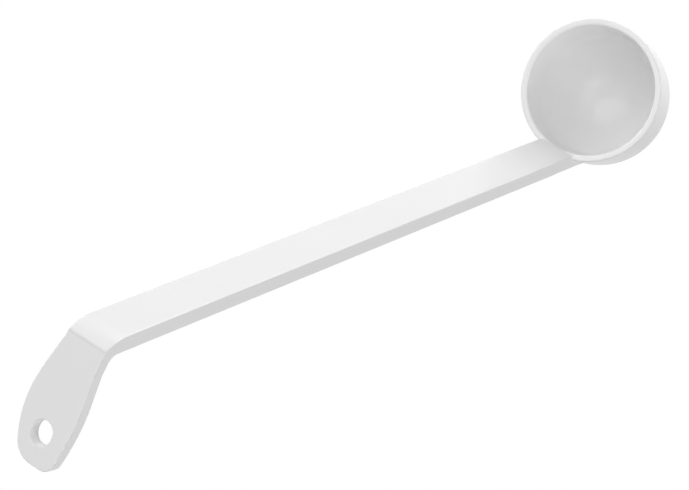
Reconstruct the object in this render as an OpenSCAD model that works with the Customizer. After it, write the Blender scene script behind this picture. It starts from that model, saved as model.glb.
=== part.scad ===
// Small one-piece serving ladle: a deep round bowl with a thick flat rim, a long flat strap handle
// that rises steeply from the rim, and a leaf-shaped end that folds over, with a round hanging hole.
// Lengths are in millimetres and angles in degrees. The bowl is level and opens upwards (+Z), the
// handle leaves it towards +X, and the origin is the centre of the hanging hole.

/* [Bowl] */
// Inside diameter of the bowl's mouth
mouth_d = 42; // [34:0.5:60]
// Thickness of the bowl's wall
wall_t = 2.1; // [1.6:0.1:3.2]
// Height of the nearly straight wall above the round bottom
wall_h = 12.5; // [9:0.5:20]
// Draft of the wall, which narrows downwards
wall_draft = 3; // [1:0.5:5]

/* [Rim] */
// Height of the rim band that the wall carries
rim_h = 3; // [2:0.25:4]
// Radius of the rim's inner top edge
rim_in_r = 0.6; // [0.3:0.05:0.8]
// Radius of the rim's outer top edge
rim_out_r = 0.5; // [0.3:0.05:0.7]

/* [Handle] */
// Length of the handle's straight front face, from the rim to the start of the bend
handle_len = 284; // [160:1:330]
// Width of the strap
handle_w = 12.2; // [11:0.1:13]
// Thickness of the strap and of the tab
handle_t = 5.2; // [3:0.1:6]
// Angle between the handle and the rim's plane
handle_rise = 71; // [60:0.5:80]
// Length of the root that joins the strap to the bowl, above the rim
root_len = 9; // [6:0.5:14]

/* [Bend] */
// Radius of the front face, from the start of the bend to the crease
front_r = 18; // [12:0.5:22]
// Angle that the front face turns through before the crease
front_turn = 32; // [24:1:40]
// Radius of the back face, all round the bend
back_r = 2.8; // [2:0.1:4]

/* [Hanging tab] */
// Angle of the tab below the rim's plane
tab_drop = 9.5; // [0:0.5:20]
// Length of the tab's front face, from the crease to its nearly straight tip
tab_len = 36.2; // [32:0.2:45]
// Diameter of the hanging hole
hole_d = 6.8; // [5:0.1:7.4]
// Distance from the crease to the hole's centre
hole_at = 27.2; // [25:0.1:29]

/* [Left edge of the tab] */
// Greatest distance of this edge from the middle line, on the side towards -Y
left_half = 8.4; // [7:0.1:9]
// Distance from the crease to that widest place
left_widest = 18.5; // [16:0.5:20]
// Radius of the hollow beside the bend
left_hollow_r = 8; // [5:1:12]
// Radius of the corner at the tip
left_corner_r = 6.9; // [6:0.1:7.4]
// How much nearer to the middle line the corner is than the widest place
left_fall = 2.5; // [2:0.1:3]

/* [Right edge of the tab] */
// Greatest distance of this edge from the middle line, on the side towards +Y
right_half = 7.7; // [7:0.1:9]
// Distance from the crease to that widest place
right_widest = 23.5; // [20:0.5:25]
// Radius of the hollow beside the bend
right_hollow_r = 45; // [20:1:60]
// Radius of the corner at the tip
right_corner_r = 2.7; // [2:0.1:3.4]
// How much nearer to the middle line the corner is than the widest place
right_fall = 0.7; // [0.5:0.05:1]

/* [Hidden] */
// Facets of a full circle, which are rebuilt as true curves
round_fn = 96;
// Steps along each curved stretch of the bend and of the leaf's outline
edge_steps = 12;
// Overrun of every cut past the solid that it opens
over = 1;

// Radii of the bowl's two surfaces: cones at the mouth, and balls that the cones touch
mouth_r = mouth_d / 2;
outer_r = mouth_r + wall_t;
ball_in_r = (mouth_r - wall_h * tan(wall_draft)) * cos(wall_draft);
ball_out_r = (outer_r - wall_h * tan(wall_draft)) * cos(wall_draft);

// The strap turns through this angle at the bend. Its flat faces, carried on, would meet at corners,
// and the back is flat again at this distance from the front corner.
bend_turn = handle_rise + tab_drop;
bend_run = (handle_t + back_r) * tan(bend_turn / 2);

// Side view from the start of the bend: the front arc ends at the crease, where the tab's flat front
// begins. The front corner lies above the crease, and the tab begins at a distance past the crease.
arc_drop = front_r * (1 - cos(front_turn));
crease_past_corner = arc_drop / sin(bend_turn);
crease_x = front_r * sin(front_turn);
corner_x = crease_x - crease_past_corner * cos(bend_turn);
tab_from = bend_run - crease_past_corner;

// The start of the bend, the crease and the hole's centre, all from the mouth's centre
along_handle = [cos(handle_rise), 0, sin(handle_rise)];
along_tab = [cos(tab_drop), 0, -sin(tab_drop)];
out_of_tab = [sin(tab_drop), 0, cos(tab_drop)];
corner = [mouth_r, 0, 0] + (handle_len + corner_x) * along_handle;
crease = corner + crease_past_corner * along_tab;
hole_centre = crease + hole_at * along_tab - handle_t / 2 * out_of_tab;

// Moves what is drawn about the mouth's centre to the part's own origin
module at_bowl() {
    translate(-hole_centre) children();
}

// Lays a shape drawn along X and Y on the handle's front face, from the rim to the bend
module on_handle() {
    at_bowl() translate([mouth_r, 0, 0]) rotate([0, -handle_rise, 0]) children();
}

// Lays a shape drawn along X and Y on the tab's front face, from the crease to the tip
module on_tab() {
    at_bowl() translate(crease) rotate([0, tab_drop, 0]) children();
}

// Solid inside one surface of the bowl: a cone from a depth below the mouth, closed by a ball
module bowl_form(top_r, ball_r, depth = 0) {
    touch_z = -wall_h - ball_r * sin(wall_draft);
    translate([0, 0, touch_z]) cylinder(
        h = -depth - touch_z,
        r1 = ball_r * cos(wall_draft),
        r2 = top_r - depth * tan(wall_draft),
        $fn = round_fn
    );
    translate([0, 0, -wall_h]) sphere(r = ball_r, $fn = round_fn);
}

// Section of the rim band, with both top edges rounded
module rim_section() {
    slope = tan(wall_draft);
    in_at = mouth_r - rim_in_r * slope + rim_in_r / cos(wall_draft);
    out_at = outer_r - rim_out_r * slope - rim_out_r / cos(wall_draft);
    polygon([
        [mouth_r - rim_h * slope, -rim_h],
        [outer_r - rim_h * slope, -rim_h],
        [out_at + rim_out_r * cos(wall_draft), -rim_out_r - rim_out_r * sin(wall_draft)],
        [out_at, -rim_out_r],
        [out_at, 0],
        [in_at, 0],
        [in_at, -rim_in_r],
        [in_at - rim_in_r * cos(wall_draft), -rim_in_r + rim_in_r * sin(wall_draft)]
    ]);
    translate([in_at, -rim_in_r]) circle(r = rim_in_r, $fn = round_fn);
    translate([out_at, -rim_out_r]) circle(r = rim_out_r, $fn = round_fn);
}

module rim_band() {
    rotate_extrude($fn = round_fn) rim_section();
}

// Deep round bowl below the rim band
module bowl() {
    color("whitesmoke") at_bowl() difference() {
        bowl_form(outer_r, ball_out_r, rim_h);
        bowl_form(mouth_r, ball_in_r);
        translate([0, 0, -rim_h]) cylinder(h = ball_out_r, r = outer_r, $fn = round_fn);
    }
}

// Thick flat rim around the mouth
module rim() {
    color("white") at_bowl() rim_band();
}

// Stretch of the plain strap between two distances along its front face
module strap(from, to) {
    translate([from, -handle_w / 2, -handle_t]) cube([to - from, handle_w, handle_t]);
}

// Foot of the strap, grown out of the rim and the outside of the wall. The strap is drawn on down to
// below the place where its back sinks into the wall.
module handle_root() {
    reach = wall_h + handle_t;
    color("whitesmoke") difference() {
        on_handle() strap(-reach, root_len);
        at_bowl() bowl_form(outer_r, ball_out_r, rim_h);
        at_bowl() rim_band();
        at_bowl() translate([0, 0, -wall_h]) cylinder(h = ball_out_r, r = mouth_r, $fn = round_fn);
    }
}

// Points of an arc about a centre, in steps between two angles. An arc that carries on from
// another one leaves out its first point.
function arc(centre, r, from, to, first = 0) = [
    for (i = [first : edge_steps]) let (a = from + (to - from) * i / edge_steps)
        centre + r * [cos(a), sin(a)]
];

// Side view of the bend, drawn from its start, with X along the handle and Y out of its front face
module bend_section() {
    back_x = corner_x - bend_run;
    tab_start = [corner_x, 0] + bend_run * [cos(bend_turn), -sin(bend_turn)];
    polygon(concat(
        [[0, -handle_t], [0, 0]],
        arc([0, -front_r], front_r, 90, 90 - front_turn, 1),
        [tab_start],
        arc([back_x, -handle_t - back_r], back_r, 90 - bend_turn, 90)
    ));
}

// Long flat strap and the bend at its end
module handle() {
    color("white") on_handle() {
        strap(root_len, handle_len);
        translate([handle_len, handle_w / 2, 0]) rotate([90, 0, 0])
            linear_extrude(height = handle_w) bend_section();
    }
}

// One edge of the leaf, from the bend to the tip. A hollow arc, a bulge to the widest place, a long arc
// and the corner at the tip each touch the next.
function leaf_edge(half, widest, hollow_r, corner_r, fall) =
    let (
        half_strap = handle_w / 2,
        grown = half - half_strap,
        run = widest - tab_from,
        both_r = (pow(run, 2) + pow(grown, 2)) / grown / 2,
        bulge_r = both_r - hollow_r,
        hollow_turn = asin(run / both_r),
        round_at = [tab_len - corner_r, half - corner_r - fall],
        long_run = round_at[0] - widest,
        long_r = (pow(long_run, 2) + pow(corner_r + fall, 2) - pow(corner_r, 2)) / fall / 2,
        tip_turn = atan2(long_r - corner_r - fall, long_run)
    )
    concat(
        arc([tab_from, half_strap + hollow_r], hollow_r, -90, hollow_turn - 90),
        arc([widest, half - bulge_r], bulge_r, 90 + hollow_turn, 90, 1),
        arc([widest, half - long_r], long_r, 90, tip_turn, 1),
        arc(round_at, corner_r, tip_turn, 0, 1)
    );

// Leaf-shaped end with the hanging hole
module hanging_tab() {
    right = leaf_edge(right_half, right_widest, right_hollow_r, right_corner_r, right_fall);
    left = leaf_edge(left_half, left_widest, left_hollow_r, left_corner_r, left_fall);
    back_again = [for (i = [len(left) - 1 : -1 : 0]) [left[i][0], -left[i][1]]];
    color("gainsboro") on_tab() difference() {
        translate([0, 0, -handle_t]) linear_extrude(height = handle_t) polygon(concat(right, back_again));
        translate([hole_at, 0, -handle_t - over])
            cylinder(h = handle_t + 2 * over, d = hole_d, $fn = round_fn);
    }
}

bowl();
rim();
handle_root();
handle();
hanging_tab();
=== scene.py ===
import math

import bpy
import bmesh
import numpy as np
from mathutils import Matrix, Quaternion, Vector


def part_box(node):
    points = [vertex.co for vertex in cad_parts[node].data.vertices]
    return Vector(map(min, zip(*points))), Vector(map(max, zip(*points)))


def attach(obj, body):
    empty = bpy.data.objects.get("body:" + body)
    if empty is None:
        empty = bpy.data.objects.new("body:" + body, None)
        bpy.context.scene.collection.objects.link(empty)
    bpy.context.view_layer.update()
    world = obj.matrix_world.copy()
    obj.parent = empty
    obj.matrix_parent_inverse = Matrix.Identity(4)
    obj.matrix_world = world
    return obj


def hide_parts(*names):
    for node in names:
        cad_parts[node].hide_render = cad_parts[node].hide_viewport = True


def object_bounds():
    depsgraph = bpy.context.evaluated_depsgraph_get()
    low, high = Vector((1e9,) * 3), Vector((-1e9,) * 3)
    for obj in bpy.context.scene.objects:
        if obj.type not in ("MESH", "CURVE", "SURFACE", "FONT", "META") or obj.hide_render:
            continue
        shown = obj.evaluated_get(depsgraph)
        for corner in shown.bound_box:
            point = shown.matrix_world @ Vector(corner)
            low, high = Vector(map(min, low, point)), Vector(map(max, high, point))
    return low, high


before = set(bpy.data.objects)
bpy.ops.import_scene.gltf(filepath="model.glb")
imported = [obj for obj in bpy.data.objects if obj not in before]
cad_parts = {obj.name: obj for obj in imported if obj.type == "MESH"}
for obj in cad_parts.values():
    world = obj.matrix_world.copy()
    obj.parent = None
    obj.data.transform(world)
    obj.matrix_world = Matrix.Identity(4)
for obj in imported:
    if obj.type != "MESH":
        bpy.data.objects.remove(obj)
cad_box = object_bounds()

# A small one-piece ladle in glossy white plastic. Its sizes are in millimetres from the centre of
# the bowl's mouth, and MM turns them into the model's metres.
MM = 0.001

# Bowl. The drafted wall runs from the lip down to where the round bottom begins.
MOUTH_R = 21.0
WALL = 2.1
WALL_HEIGHT = 12.5
WALL_DRAFT = math.radians(3.0)
LIP_INNER_ROUND = 0.6
LIP_OUTER_ROUND = 0.5

# Strap handle. Its sides draft away from a narrow mould line, which lies nearer to the front face.
# All four long edges are slightly rounded, the back ones least.
HANDLE_LENGTH = 284.0
HANDLE_WIDTH = 12.2
HANDLE_THICK = 5.2
HANDLE_RISE = math.radians(71.0)
MOULD_LINE_DEPTH = 1.8
MOULD_LINE_HALF = 0.01
FRONT_DRAFT = math.radians(1.0)
BACK_DRAFT = math.radians(1.0)
FRONT_ROUND = 0.3
BACK_ROUND = 0.15

# Root of the strap, from the inner edge of the lip up, and down to where it has sunk into the wall
ROOT_LENGTH = 9.0
ROOT_DEPTH = 17.7
ROOT_FILLET = 0.4

# Bend. The front face turns on an arc as far as a crease, and the back on a fillet.
BEND_FRONT_R = 18.0
FRONT_TURN = math.radians(32.0)
BEND_BACK_R = 2.8
CREASE_ROUND = 0.25

# Leaf-shaped tab, measured from the crease. Each edge flares from the strap's through a hollow,
# swells to its greatest half width at its widest place, and falls back a little as far as its
# corner. The hole is slightly oval.
TAB_DROP = math.radians(9.5)
TAB_LENGTH = 36.4
LEFT_EDGE = {
    "flare_from": 1.2,
    "hollow_r": 6.0,
    "bulge_r": 46.0,
    "half": 8.4,
    "widest": 18.5,
    "fall": 2.5,
    "corner_r": 6.9,
}
RIGHT_EDGE = {
    "flare_from": 7.5,
    "hollow_r": 12.0,
    "bulge_r": 60.0,
    "half": 7.7,
    "widest": 23.5,
    "fall": 0.7,
    "corner_r": 2.7,
}
HOLE_AT = 27.6
HOLE_HALF_LENGTH = 3.6
HOLE_HALF_WIDTH = 3.15
HOLE_ROUND = 0.3

# Fineness of the meshes. The bend has as many steps in front as behind.
NET_STEP = 0.4
ROUND_STEPS = 6
STRAP_STEPS = 24
FRONT_ARC_STEPS = 14
CREASE_STEPS = 6
FRONT_FLAT_STEPS = 6
FILLET_STEPS = 14
BACK_FLAT_STEPS = FRONT_ARC_STEPS + CREASE_STEPS + FRONT_FLAT_STEPS - FILLET_STEPS
LEAF_STEPS = 16
FACE_RINGS = 5
SEAM_POINTS = 6
SLOPE_REACH = 0.05

# Polished plastic. Its shade and gloss vary in broad clouds, and its surface in fine ripples. The
# two scales are per metre.
SHADE = 0.93
CLOUD_SCALE = 45.0
CLOUD_SHADE = 0.985 * SHADE
LEAST_ROUGH = 0.17
CLOUD_ROUGH = 0.05
RIPPLE_SCALE = 900.0
RIPPLE_HEIGHT = 0.2
RIPPLE_STRENGTH = 0.015
# Painted shade: a thin dark line in the base colour along the crease.
CREASE_SHADE_HALF = 0.2
CREASE_SHADE_FADED = 0.7
CREASE_SHADE_DARKNESS = 0.1

# The mouth's centre in the model's own frame
rim_low, rim_high = (np.array(corner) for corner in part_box("rim"))
MOUTH = np.array([(rim_low[0] + rim_high[0]) / 2, (rim_low[1] + rim_high[1]) / 2, rim_high[2]])

# Directions along the handle and the tab, and out of their front faces
ACROSS = np.array([0.0, 1.0, 0.0])
HANDLE_ALONG = np.array([math.cos(HANDLE_RISE), 0.0, math.sin(HANDLE_RISE)])
HANDLE_OUT = np.array([-math.sin(HANDLE_RISE), 0.0, math.cos(HANDLE_RISE)])
TAB_ALONG = np.array([math.cos(TAB_DROP), 0.0, -math.sin(TAB_DROP)])
TAB_OUT = np.array([math.sin(TAB_DROP), 0.0, math.cos(TAB_DROP)])

# The strap's faces, carried on past the bend's start, would meet the tab's at corners. The back is
# flat again at this run past the corner.
HANDLE_FOOT = np.array([MOUTH_R, 0.0, 0.0])
BEND_START = HANDLE_FOOT + HANDLE_LENGTH * HANDLE_ALONG
BEND_TURN = HANDLE_RISE + TAB_DROP
BEND_RUN = (HANDLE_THICK + BEND_BACK_R) * math.tan(BEND_TURN / 2)

# The crease, and how far past it the tab's own skin begins
ARC_DROP = BEND_FRONT_R * (1 - math.cos(FRONT_TURN))
CREASE_PAST_CORNER = ARC_DROP / math.sin(BEND_TURN)
CREASE = BEND_START + BEND_FRONT_R * math.sin(FRONT_TURN) * HANDLE_ALONG - ARC_DROP * HANDLE_OUT
TAB_FROM = BEND_RUN - CREASE_PAST_CORNER


def unit(vectors):
    return vectors / np.linalg.norm(vectors, axis=-1, keepdims=True)


def moulded_piece(name, points, faces, normals, nodes, material):
    """A closed skin, given in millimetres from the mouth's centre, that is shaded with the true
    normals of its surface."""
    mesh = bpy.data.meshes.new(name)
    mesh.from_pydata((MOUTH + points * MM).tolist(), [], faces)
    mesh.shade_smooth()
    mesh.normals_split_custom_set_from_vertices(normals.tolist())
    piece = bpy.data.objects.new(name, mesh)
    bpy.context.scene.collection.objects.link(piece)
    mesh.materials.append(material)
    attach(piece, "root")
    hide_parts(*nodes)


def tube_faces(rows, columns, first_row_joins_last=False):
    """Quads of a grid whose rows are closed loops."""
    faces = []
    for row in range(rows if first_row_joins_last else rows - 1):
        here, there = row * columns, (row + 1) % rows * columns
        for column in range(columns):
            beside = (column + 1) % columns
            faces.append((here + column, here + beside, there + beside, there + column))
    return faces


# Shapes given as distances: below zero is inside the plastic


def bowl_wall(radius, height, wall_r):
    """Distance to one surface of the bowl: a drafted wall that a ball closes below."""
    ball_r = (wall_r - WALL_HEIGHT * math.tan(WALL_DRAFT)) * math.cos(WALL_DRAFT)
    above = height + WALL_HEIGHT
    to_wall = (radius - wall_r - height * math.tan(WALL_DRAFT)) * math.cos(WALL_DRAFT)
    to_ball = np.hypot(radius, above) - ball_r
    return np.where(above > -radius * math.tan(WALL_DRAFT), to_wall, to_ball)


def rounded_cut(a, b, round_r):
    """What two shapes share, with the edge between them rounded."""
    outside = np.hypot(np.maximum(a + round_r, 0), np.maximum(b + round_r, 0))
    return np.minimum(np.maximum(a, b), -round_r) + outside


def filleted_join(a, b, fillet_r):
    """Two shapes joined, with a fillet along the hollow edge between them."""
    inside = np.hypot(np.maximum(fillet_r - a, 0), np.maximum(fillet_r - b, 0))
    return np.maximum(np.minimum(a, b), fillet_r) - inside


def strap_section(across, out, half_width):
    """Distance to the strap's outline, seen along it. Heights are out of the front face's plane."""
    beyond, above = np.abs(across) - half_width, out + MOULD_LINE_DEPTH
    front_side = beyond * math.cos(FRONT_DRAFT) + above * math.sin(FRONT_DRAFT)
    back_side = beyond * math.cos(BACK_DRAFT) - above * math.sin(BACK_DRAFT)
    front_half = rounded_cut(front_side, out, FRONT_ROUND)
    return np.maximum(front_half, rounded_cut(back_side, -out - HANDLE_THICK, BACK_ROUND))


def bowl_and_root(x, y, z):
    """The bowl with the foot of the strap grown out of it."""
    radius = np.hypot(x, y)
    cup = rounded_cut(bowl_wall(radius, z, MOUTH_R + WALL), z, LIP_OUTER_ROUND)
    from_foot = x - HANDLE_FOOT[0]
    along = from_foot * HANDLE_ALONG[0] + z * HANDLE_ALONG[2]
    out = from_foot * HANDLE_OUT[0] + z * HANDLE_OUT[2]
    strap = strap_section(y, out, HANDLE_WIDTH / 2)
    strap = np.maximum(strap, -along - ROOT_DEPTH)
    solid = filleted_join(cup, strap, ROOT_FILLET)
    return rounded_cut(solid, -bowl_wall(radius, z, MOUTH_R), LIP_INNER_ROUND)


def slope_of(shape, points, reach=0.01):
    """Gradient of a distance shape."""
    slope = np.empty_like(points)
    for axis in range(3):
        step = np.zeros(3)
        step[axis] = reach
        slope[:, axis] = (shape(*(points + step).T) - shape(*(points - step).T)) / (2 * reach)
    return slope


def settle(shape, points, passes=4, least_square=0.05):
    """Points moved onto the surface of a distance shape. The least square of its slope keeps the
    moves short where its slope nearly vanishes."""
    for _ in range(passes):
        slope = slope_of(shape, points)
        square = np.maximum((slope ** 2).sum(axis=1), least_square)
        points = points - (shape(*points.T) / square)[:, None] * slope
    return points


def surface_net(shape, low, high, step):
    """Quads around the surface of a distance shape. Each cell of a lattice that the surface crosses
    has one point, in the middle of the places where its edges are crossed, and each crossed edge
    has one quad between the four cells around it."""
    axes = [np.arange(a, b + step, step) for a, b in zip(low, high)]
    value = shape(*np.meshgrid(*axes, indexing="ij"))
    inside = value < 0
    cells = tuple(n - 1 for n in value.shape)
    total = np.zeros((int(np.prod(cells)), 4))
    quads = []
    for axis in range(3):
        ahead = [slice(None)] * 3
        behind = [slice(None)] * 3
        ahead[axis], behind[axis] = slice(1, None), slice(None, -1)
        crossed = np.argwhere(inside[tuple(ahead)] != inside[tuple(behind)])
        others = [(axis + 1) % 3, (axis + 2) % 3]
        fits = np.all([(crossed[:, o] > 0) & (crossed[:, o] < cells[o]) for o in others], axis=0)
        crossed = crossed[fits]
        beyond = crossed.copy()
        beyond[:, axis] += 1
        v0, v1 = value[tuple(crossed.T)], value[tuple(beyond.T)]
        place = np.stack([axes[k][crossed[:, k]] for k in range(3)], axis=1)
        place[:, axis] += v0 / (v0 - v1) * step
        ring = []
        for d1, d2 in ((-1, -1), (0, -1), (0, 0), (-1, 0)):
            cell = crossed.copy()
            cell[:, others[0]] += d1
            cell[:, others[1]] += d2
            number = np.ravel_multi_index(tuple(cell.T), cells)
            for k in range(3):
                total[:, k] += np.bincount(number, place[:, k], total.shape[0])
            total[:, 3] += np.bincount(number, minlength=total.shape[0])
            ring.append(number)
        ring = np.stack(ring, axis=1)
        leaving = inside[tuple(crossed.T)]
        quads.append(np.where(leaving[:, None], ring, ring[:, ::-1]))
    used = np.flatnonzero(total[:, 3])
    renumber = np.full(total.shape[0], -1)
    renumber[used] = np.arange(len(used))
    return total[used, :3] / total[used, 3:], renumber[np.concatenate(quads)]


def eased(shape, points, quads, passes=3):
    """The net's points drawn towards their neighbours' middle, and kept on the surface."""
    ends = np.concatenate([quads[:, [k, (k + 1) % 4]] for k in range(4)])
    start, end = ends.T
    count = np.maximum(np.bincount(start, minlength=len(points)), 1)[:, None]
    for _ in range(passes):
        total = [np.bincount(start, points[end, k], len(points)) for k in range(3)]
        points = settle(shape, (points + np.stack(total, axis=1) / count) / 2, 2)
    return points


def make_bowl(material):
    """Bowl, lip and strap foot as one flowing skin, cut off square where the strap goes on."""
    outer = MOUTH_R + WALL
    margin = 2 * NET_STEP
    low = (-outer - margin, -outer - margin, -WALL_HEIGHT - outer - margin)
    top = (ROOT_LENGTH + margin) * HANDLE_ALONG[2] + margin
    high = (outer + margin + 2 * HANDLE_THICK, outer + margin, top)
    points, quads = surface_net(bowl_and_root, low, high, NET_STEP)
    points = eased(bowl_and_root, settle(bowl_and_root, points), quads)

    sheet = bmesh.new()
    corners = [sheet.verts.new(p) for p in points]
    for quad in quads:
        sheet.faces.new([corners[k] for k in quad])
    bmesh.ops.bisect_plane(
        sheet,
        geom=sheet.verts[:] + sheet.edges[:] + sheet.faces[:],
        plane_co=HANDLE_FOOT + ROOT_LENGTH * HANDLE_ALONG,
        plane_no=HANDLE_ALONG,
        clear_outer=True,
    )
    bmesh.ops.holes_fill(sheet, edges=[e for e in sheet.edges if e.is_boundary])
    sheet.verts.index_update()
    points = np.array([v.co for v in sheet.verts])
    faces = [[v.index for v in f.verts] for f in sheet.faces]
    sheet.free()
    normals = unit(slope_of(bowl_and_root, points))
    nodes = ("bowl", "rim", "handle_root")
    moulded_piece("bowl_skin", points, faces, normals, nodes, material)


def edge_profile():
    """The strap's rounded and drafted edge, from its front face to its back. Each row is how far a
    point lies inside the widest line, its depth, and the sideways and outwards parts of the
    surface's direction there."""
    profile = []
    front = (1, MOULD_LINE_DEPTH, FRONT_DRAFT, FRONT_ROUND)
    back = (-1, HANDLE_THICK - MOULD_LINE_DEPTH, BACK_DRAFT, BACK_ROUND)
    for side, drop, draft, round_r in (front, back):
        centre = (drop - round_r) * math.tan(draft) + round_r / math.cos(draft)
        half = []
        for k in range(ROUND_STEPS + 1):
            angle = math.pi / 2 + (draft - math.pi / 2) * k / ROUND_STEPS
            sideways, outwards = math.cos(angle), math.sin(angle)
            below = round_r * (1 - outwards)
            depth = -below if side > 0 else below - HANDLE_THICK
            half.append((centre - round_r * sideways, depth, sideways, side * outwards))
        depth = side * MOULD_LINE_HALF - MOULD_LINE_DEPTH
        half.append((0.0, depth, math.cos(draft), side * math.sin(draft)))
        profile += half[::side]
    return np.array(profile)


EDGE = edge_profile()


def walk(legs):
    """A line of straight and curved legs in the handle's side view, from the bend's start. Each leg
    is its length, its downward turn and its number of steps. Each row of the line is a point along
    and out of the handle, the turn there and the distance gone."""
    point, turned, gone = np.zeros(2), 0.0, 0.0
    places = [(0.0, 0.0, 0.0, 0.0)]
    for length, turn, steps in legs:
        for _ in range(steps):
            step, more = length / steps, turn / steps
            chord = step * (math.sin(more / 2) / (more / 2) if more else 1)
            middle = turned + more / 2
            point = point + chord * np.array([math.cos(middle), -math.sin(middle)])
            turned += more
            gone += step
            places.append((*point, turned, gone))
    return np.array(places)


def laid_out(line):
    """Where a line in the handle's side view lies, where it heads, and where its face looks."""
    turned = line[:, 2]
    axes = np.stack([HANDLE_ALONG, HANDLE_OUT])
    places = BEND_START + line[:, :2] @ axes
    heading = np.stack([np.cos(turned), -np.sin(turned)], axis=1) @ axes
    facing = np.stack([np.sin(turned), np.cos(turned)], axis=1) @ axes
    return places[:, None], heading[:, None], facing[:, None]


def arc_points(centre, radius, start, end, first=0):
    angles = [start + (end - start) * k / LEAF_STEPS for k in range(first, LEAF_STEPS + 1)]
    return [(centre[0] + radius * math.cos(a), centre[1] + radius * math.sin(a)) for a in angles]


def tab_edge(flare_from, hollow_r, bulge_r, half, widest, fall, corner_r):
    """One edge of the leaf from the crease to its tip, as distances from the crease and off the
    middle line: straight on, a hollow, a straight flare, a bulge to the widest place, a long arc
    and a corner."""
    quarter = math.pi / 2
    half_strap = HANDLE_WIDTH / 2
    start = np.array([flare_from, half_strap])
    to_centre = np.array([widest, half - bulge_r]) - start
    flare = math.atan2(to_centre[1], to_centre[0]) + math.asin(bulge_r / np.hypot(*to_centre))
    hollow_at = (flare_from - hollow_r * math.tan(flare / 2), half_strap + hollow_r)
    round_at = (TAB_LENGTH - corner_r, half - corner_r - fall)
    long_run = round_at[0] - widest
    long_r = (long_run ** 2 + (corner_r + fall) ** 2 - corner_r ** 2) / fall / 2
    tip_turn = math.atan2(long_r - corner_r - fall, long_run)
    line = [(0.0, half_strap)]
    line += arc_points(hollow_at, hollow_r, -quarter, flare - quarter)
    line += arc_points((widest, half - bulge_r), bulge_r, quarter + flare, quarter)
    line += arc_points((widest, half - long_r), long_r, quarter, tip_turn, 1)
    line += arc_points(round_at, corner_r, tip_turn, 0, 1)
    return np.array(line)


LEFT_LINE = tab_edge(**LEFT_EDGE)
RIGHT_LINE = tab_edge(**RIGHT_EDGE)


def half_width(line, past_crease):
    """Distance from the middle line to one edge, by distance past the crease on the front face."""
    return np.interp(past_crease, line[:-1, 0], line[:-1, 1])


def make_handle(material):
    """Long flat strap with the bend at its end."""
    nip = CREASE_ROUND * math.tan((BEND_TURN - FRONT_TURN) / 2)
    arc_turn = FRONT_TURN - nip / BEND_FRONT_R
    front = walk([
        (BEND_FRONT_R * arc_turn, arc_turn, FRONT_ARC_STEPS),
        (CREASE_ROUND * (BEND_TURN - arc_turn), BEND_TURN - arc_turn, CREASE_STEPS),
        (TAB_FROM - nip, 0.0, FRONT_FLAT_STEPS),
    ])
    to_corner = BEND_FRONT_R * math.sin(FRONT_TURN) - CREASE_PAST_CORNER * math.cos(BEND_TURN)
    back = walk([
        (to_corner - BEND_RUN, 0.0, BACK_FLAT_STEPS),
        (BEND_BACK_R * BEND_TURN, BEND_TURN, FILLET_STEPS),
    ])
    strap = np.zeros((STRAP_STEPS, 4))
    from_root = np.linspace(ROOT_LENGTH - HANDLE_LENGTH, 0, STRAP_STEPS, endpoint=False)
    strap[:, 0] = strap[:, 3] = from_root
    front = np.concatenate([strap, front])
    back = np.concatenate([strap, back]) - (0, HANDLE_THICK, 0, 0)

    front_places, front_heading, front_facing = laid_out(front)
    back_places, back_heading, back_facing = laid_out(back)
    past_crease = front[:, 3] - BEND_FRONT_R * FRONT_TURN
    inset, depth, sideways, outwards = EDGE.T
    through = (depth / HANDLE_THICK)[None, :, None]
    on_back = through < -0.5
    middle = front_places + (front_places - back_places) * through
    facing = np.where(on_back, back_facing, front_facing)
    heading = np.where(on_back, back_heading, front_heading)

    rings, normals = [], []
    for line, side in ((RIGHT_LINE, 1), (LEFT_LINE, -1)):
        half = half_width(line, past_crease)
        before = half_width(line, past_crease - SLOPE_REACH)
        slope = (half_width(line, past_crease + SLOPE_REACH) - before) / (2 * SLOPE_REACH)
        beside = side * (half[:, None] - inset)
        away = side * ACROSS - slope[:, None, None] * heading
        directions = sideways[None, :, None] * away + outwards[None, :, None] * facing
        rings.append((middle + beside[:, :, None] * ACROSS)[:, ::side])
        normals.append(directions[:, ::side])
    rings = np.concatenate(rings, axis=1)
    normals = unit(np.concatenate(normals, axis=1))
    rows, columns = rings.shape[:2]
    faces = [face[::-1] for face in tube_faces(rows, columns)]
    faces.append(tuple(range(columns)))
    faces.append(tuple((rows - 1) * columns + k for k in range(columns))[::-1])
    points, normals = rings.reshape(-1, 3), normals.reshape(-1, 3)
    moulded_piece("handle_skin", points, faces, normals, ("handle",), material)


def past_seam(line, least_gap=0.05):
    """The part of an edge that the tab's own skin has, from where the handle's skin ends."""
    start = (TAB_FROM, float(half_width(line, TAB_FROM)))
    return np.array([start] + [tuple(p) for p in line if p[0] > TAB_FROM + least_gap])


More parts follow.
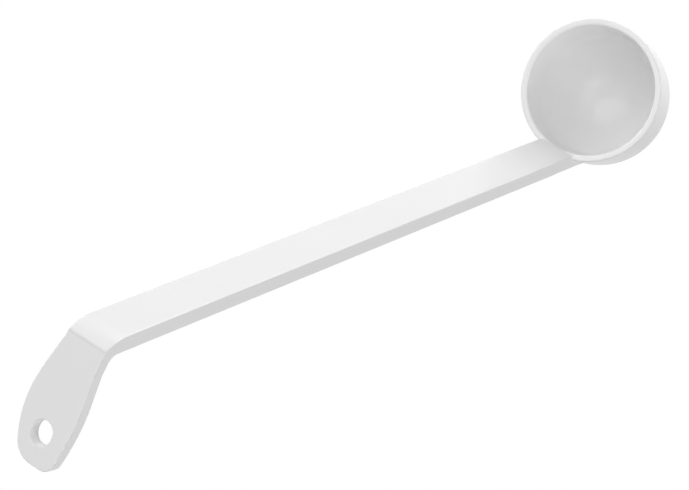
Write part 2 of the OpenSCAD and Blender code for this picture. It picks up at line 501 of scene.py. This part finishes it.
def make_tab(material):
    """Leaf-shaped end. Its skin runs over the edge, across the back, up through the hole and back
    across the front."""
    right, left = past_seam(RIGHT_LINE), past_seam(LEFT_LINE)
    line = np.concatenate([right, left[::-1] * (1, -1)])
    tangent = unit(np.gradient(line, axis=0))
    aside = np.stack([-tangent[:, 1], tangent[:, 0]], axis=1)
    low, high = line[-1, 1], line[0, 1]

    loops, directions = [], []

    def add_loop(flat, depth, flat_direction, outwards):
        loops.append(np.column_stack([flat, np.full(len(flat), depth)]))
        directions.append(np.column_stack([flat_direction, np.full(len(flat), outwards)]))

    along_seam = np.zeros((SEAM_POINTS, 2))
    for inset, depth, sideways, outwards in EDGE:
        shifted = line - inset * aside
        shifted[0], shifted[-1] = (TAB_FROM, high - inset), (TAB_FROM, low + inset)
        across = np.linspace(low + inset, high - inset, SEAM_POINTS + 2)[1:-1]
        seam = np.column_stack([np.full(SEAM_POINTS, TAB_FROM), across])
        flat_direction = np.concatenate([sideways * aside, along_seam])
        add_loop(np.concatenate([shifted, seam]), depth, flat_direction, outwards)

    hole = np.array((HOLE_AT, 0))
    oval = np.array((HOLE_HALF_LENGTH, HOLE_HALF_WIDTH))
    brink = loops[-1][:, :2]
    around = unit((brink - hole) / oval)
    away = unit(around / oval)
    rim = hole + around * oval + away * HOLE_ROUND
    level = np.zeros_like(brink)
    for k in range(1, FACE_RINGS):
        add_loop(brink + (rim - brink) * k / FACE_RINGS, -HANDLE_THICK, level, -1)
    half_steps = ROUND_STEPS // 2
    quarter_round = [math.pi / 2 * k / half_steps for k in range(half_steps + 1)]
    for side, angles in ((-1, quarter_round), (1, quarter_round[::-1])):
        for angle in angles:
            edge = hole + around * oval + away * HOLE_ROUND * (1 - math.sin(angle))
            below = HOLE_ROUND * (1 - math.cos(angle))
            depth = -below if side > 0 else below - HANDLE_THICK
            add_loop(edge, depth, -away * math.sin(angle), side * math.cos(angle))
    for k in range(1, FACE_RINGS):
        add_loop(rim + (brink - rim) * k / FACE_RINGS, 0.0, level, 1)

    axes = np.stack([TAB_ALONG, ACROSS, TAB_OUT])
    rings = CREASE + np.stack(loops) @ axes
    normals = unit(np.stack(directions) @ axes).reshape(-1, 3)
    faces = tube_faces(*rings.shape[:2], first_row_joins_last=True)
    points = rings.reshape(-1, 3)
    nodes = ("hanging_tab",)
    moulded_piece("hanging_tab_skin", points, faces, normals, nodes, material)


class Value:
    """A shader socket that takes part in sums, each of which adds its Math node."""

    def __init__(self, tree, socket):
        self.tree, self.socket = tree, socket

    def math(self, operation, other):
        return self.tree.node("ShaderNodeMath", {"operation": operation}, {0: self, 1: other})

    def __add__(self, other):
        return self.math("ADD", other)

    def __mul__(self, other):
        return self.math("MULTIPLY", other)

    __radd__ = __add__
    __rmul__ = __mul__

    def at_least(self, other):
        return self.math("MAXIMUM", other)


class Tree:
    """A node tree in which any node comes from one call."""

    def __init__(self, owner):
        owner.use_nodes = True
        self.tree = owner.node_tree
        self.tree.nodes.clear()

    def node(self, kind, settings=None, inputs=None, output=0):
        """Sets a node's settings first, and then the values or links of its sockets. Gives the
        output that is asked for, unless the node has none."""
        made = self.tree.nodes.new(kind)
        for key, value in (settings or {}).items():
            setattr(made, key, value)
        for key, value in (inputs or {}).items():
            if isinstance(value, Value):
                self.tree.links.new(value.socket, made.inputs[key])
            else:
                made.inputs[key].default_value = value
        return Value(self, made.outputs[output]) if made.outputs else None


def grey(shade):
    return shade, shade, shade, 1


def mixed_colour(tree, share, first, second):
    """Two colours mixed, with a share of the second. Sockets 6 and 7 and output 2 of the node are
    the ones for colours."""
    sockets = {0: share, 6: first, 7: second}
    return tree.node("ShaderNodeMix", {"data_type": "RGBA"}, sockets, output=2)


def painted_crease_shade(tree, place):
    """How dark the thin line of painted shade is along the crease, darkened into the base colour.
    """
    side_view = tree.node(
        "ShaderNodeVectorMath", {"operation": "MULTIPLY"}, {0: place, 1: (1, 0, 1)}
    )
    crease = tuple(MOUTH + CREASE * MM)
    away = tree.node(
        "ShaderNodeVectorMath", {"operation": "DISTANCE"}, {0: side_view, 1: crease}, output="Value"
    )
    return tree.node("ShaderNodeMapRange", inputs={
        "Value": away,
        "From Min": CREASE_SHADE_HALF * MM,
        "From Max": CREASE_SHADE_FADED * MM,
        "To Min": CREASE_SHADE_DARKNESS,
        "To Max": 0.0,
    })


def gloss_white():
    """White plastic with a polished mould's skin: a faint unevenness in its shade, gloss and
    surface, and a thin line of painted shade along the crease."""
    material = bpy.data.materials.new("gloss_white_plastic")
    tree = Tree(material)
    place = tree.node("ShaderNodeTexCoord", output="Object")
    clouds = tree.node(
        "ShaderNodeTexNoise", inputs={"Vector": place, "Scale": CLOUD_SCALE, "Detail": 2.0}
    )
    ripples = tree.node(
        "ShaderNodeTexNoise", inputs={"Vector": place, "Scale": RIPPLE_SCALE, "Detail": 1.0}
    )
    white = mixed_colour(tree, clouds, grey(CLOUD_SHADE), grey(SHADE))
    surface = tree.node("ShaderNodeBump", inputs={
        "Strength": RIPPLE_STRENGTH,
        "Distance": RIPPLE_HEIGHT * MM,
        "Height": ripples,
    })
    plastic = tree.node("ShaderNodeBsdfPrincipled", inputs={
        # Painted shade darkens the base colour in a thin line along the crease.
        "Base Color": mixed_colour(tree, painted_crease_shade(tree, place), white, grey(0)),
        "Roughness": LEAST_ROUGH + clouds * CLOUD_ROUGH,
        "Normal": surface,
        "IOR": 1.49,
    })
    tree.node("ShaderNodeOutputMaterial", inputs={"Surface": plastic})
    return material


def seen_directly(tree):
    """One for camera, glossy and transmission rays, and zero for soft light."""
    camera_ray, glossy_ray, through_ray = (
        tree.node("ShaderNodeLightPath", output=ray)
        for ray in ("Is Camera Ray", "Is Glossy Ray", "Is Transmission Ray")
    )
    return camera_ray.at_least(glossy_ray).at_least(through_ray)


def backdrop_white():
    """Floor paint that takes soft light and shows plain white to the camera."""
    material = bpy.data.materials.new("studio_white")
    tree = Tree(material)
    paint = tree.node("ShaderNodeBsdfDiffuse", inputs={"Color": grey(0.8)})
    glow = tree.node("ShaderNodeEmission", inputs={"Color": grey(1), "Strength": 1.0})
    seen = tree.node("ShaderNodeMixShader", inputs={0: seen_directly(tree), 1: paint, 2: glow})
    tree.node("ShaderNodeOutputMaterial", inputs={"Surface": seen})
    return material


def make_floor():
    """Square floor, a little over a metre below the lowest point of the ladle."""
    drop, half_side = 1.2, 3.0
    height = cad_box[0][2] - drop
    mesh = bpy.data.meshes.new("studio_floor")
    signs = ((-1, -1), (1, -1), (1, 1), (-1, 1))
    corners = [(x * half_side, y * half_side, height) for x, y in signs]
    mesh.from_pydata(corners, [], [(0, 1, 2, 3)])
    mesh.materials.append(backdrop_white())
    floor = bpy.data.objects.new("studio_floor", mesh)
    bpy.context.scene.collection.objects.link(floor)


def make_world():
    """Air that adds a little light from all sides and shows plain white to the camera."""
    soft_light, plain_white = 0.15, 1.0
    world = bpy.data.worlds.new("studio_air")
    bpy.context.scene.world = world
    tree = Tree(world)
    around, seen = (
        tree.node("ShaderNodeBackground", inputs={"Color": grey(1), "Strength": strength})
        for strength in (soft_light, plain_white)
    )
    mixed = tree.node("ShaderNodeMixShader", inputs={0: seen_directly(tree), 1: around, 2: seen})
    tree.node("ShaderNodeOutputWorld", inputs={"Surface": mixed})


def panel_light(name, place, aim, size, power):
    """Soft square panel that faces its aim. Its size is in metres, and its power in watts."""
    lamp = bpy.data.lights.new(name, "AREA")
    lamp.size = size
    lamp.energy = power
    panel = bpy.data.objects.new(name, lamp)
    panel.location = Vector(MOUTH) + Vector(place)
    panel.rotation_mode = "QUATERNION"
    panel.rotation_quaternion = (Vector(aim) - Vector(place)).to_track_quat("-Z", "Y")
    bpy.context.scene.collection.objects.link(panel)


def make_lights():
    """Soft panels round the ladle. Places and the aim are in metres from the mouth's centre."""
    aim = (0.05, 0, 0.12)
    panel_light("right_panel", (0.05, 1.22, 0.82), aim, 1.8, 9.6)
    panel_light("far_right_panel", (0.89, 0.84, 0.82), aim, 1.8, 3.8)
    panel_light("left_panel", (0.05, -1.36, 0.42), aim, 0.9, 7.1)
    panel_light("handle_side_panel", (-1.27, 0.0, -0.36), aim, 1.0, 11.8)
    panel_light("overhead_panel", (-0.44, -0.49, 1.34), aim, 1.8, 12.0)


def make_camera():
    """Where the photograph was taken from. Its place and its aim are in millimetres from the
    mouth's centre, and its focal length is in pixels of the photograph."""
    image_width, focal_pixels = 689, 4000.0
    place = np.array([-3.38, 364.37, 1227.33])
    aim = np.array([73.79, 0.0, 135.77])
    roll = math.radians(-71.14)
    camera = bpy.data.objects.new("camera", bpy.data.cameras.new("camera"))
    camera.data.sensor_width = 36.0
    camera.data.lens = focal_pixels / image_width * camera.data.sensor_width
    camera.data.clip_end = 20.0
    camera.location = Vector(MOUTH + place * MM)
    turn = Vector(aim - place).to_track_quat("-Z", "Y")
    camera.rotation_mode = "QUATERNION"
    camera.rotation_quaternion = turn @ Quaternion((0, 0, 1), roll)
    bpy.context.scene.collection.objects.link(camera)
    bpy.context.scene.camera = camera


plastic_white = gloss_white()
make_bowl(plastic_white)
make_handle(plastic_white)
make_tab(plastic_white)
make_floor()
make_world()
make_lights()
make_camera()
bpy.context.scene.view_settings.view_transform = "Standard"
